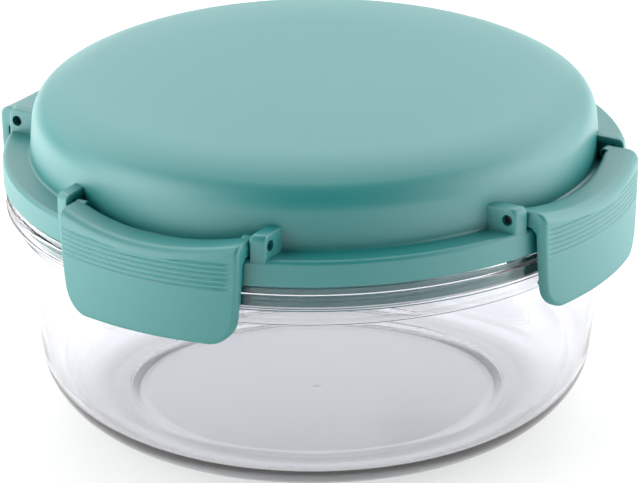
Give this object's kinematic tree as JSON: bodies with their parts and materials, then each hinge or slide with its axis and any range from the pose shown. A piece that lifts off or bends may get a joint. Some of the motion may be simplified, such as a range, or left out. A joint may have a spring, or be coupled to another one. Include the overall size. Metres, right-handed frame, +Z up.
{
  "type": "snap lid food container",
  "caption": "Round clear food bowl with a domed lid held by curved snap latches that hinge on lugs and hook under a collar on the bowl.",
  "frame": {"origin": "centre of the bowl's resting ring, on the surface it stands on", "axes": "+Z up along the axis of the bowl and lid, -Y towards the front latch, +X towards the right latch"},
  "size_m": [0.1678, 0.1678, 0.0924],
  "materials": {
    "clear_plastic": "clear glossy moulded plastic",
    "teal_plastic": "satin moulded plastic",
    "seal_silicone": "matte translucent silicone",
    "pin_steel": "blackened steel wire"
  },
  "bodies": {
    "bowl_body": {"bowl": "clear_plastic"},
    "lid_body": {"lid": "teal_plastic", "lid_seal": "seal_silicone", "hinge_pin_front_a": "pin_steel", "hinge_pin_front_b": "pin_steel", "hinge_pin_right_a": "pin_steel", "hinge_pin_right_b": "pin_steel", "hinge_pin_back_a": "pin_steel", "hinge_pin_back_b": "pin_steel", "hinge_pin_left_a": "pin_steel", "hinge_pin_left_b": "pin_steel"},
    "latch_front_body": {"latch_front": "teal_plastic"},
    "latch_right_body": {"latch_right": "teal_plastic"},
    "latch_back_body": {"latch_back": "teal_plastic"},
    "latch_left_body": {"latch_left": "teal_plastic"}
  },
  "joints": [
    {"name": "lid_lift", "type": "slide", "parent": "bowl_body", "child": "lid_body", "axis": [0, 0, 1], "range_m": [0, 0.03]},
    {"name": "latch_front_hinge", "type": "hinge", "parent": "lid_body", "child": "latch_front_body", "pos_m": [0, -0.0718, 0.07225], "axis": [-1, 0, 0], "range_deg": [0, 90]},
    {"name": "latch_right_hinge", "type": "hinge", "parent": "lid_body", "child": "latch_right_body", "pos_m": [0.0718, 0, 0.07225], "axis": [0, -1, 0], "range_deg": [0, 90]},
    {"name": "latch_back_hinge", "type": "hinge", "parent": "lid_body", "child": "latch_back_body", "pos_m": [0, 0.0718, 0.07225], "axis": [1, 0, 0], "range_deg": [0, 90]},
    {"name": "latch_left_hinge", "type": "hinge", "parent": "lid_body", "child": "latch_left_body", "pos_m": [-0.0718, 0, 0.07225], "axis": [0, 1, 0], "range_deg": [0, 90]}
  ],
  "couplings": [
    {"joint": "latch_front_hinge", "follows": "lid_lift", "rad_per_m": 52.355},
    {"joint": "latch_right_hinge", "follows": "lid_lift", "rad_per_m": 52.355},
    {"joint": "latch_back_hinge", "follows": "lid_lift", "rad_per_m": 52.355},
    {"joint": "latch_left_hinge", "follows": "lid_lift", "rad_per_m": 52.355}
  ]
}
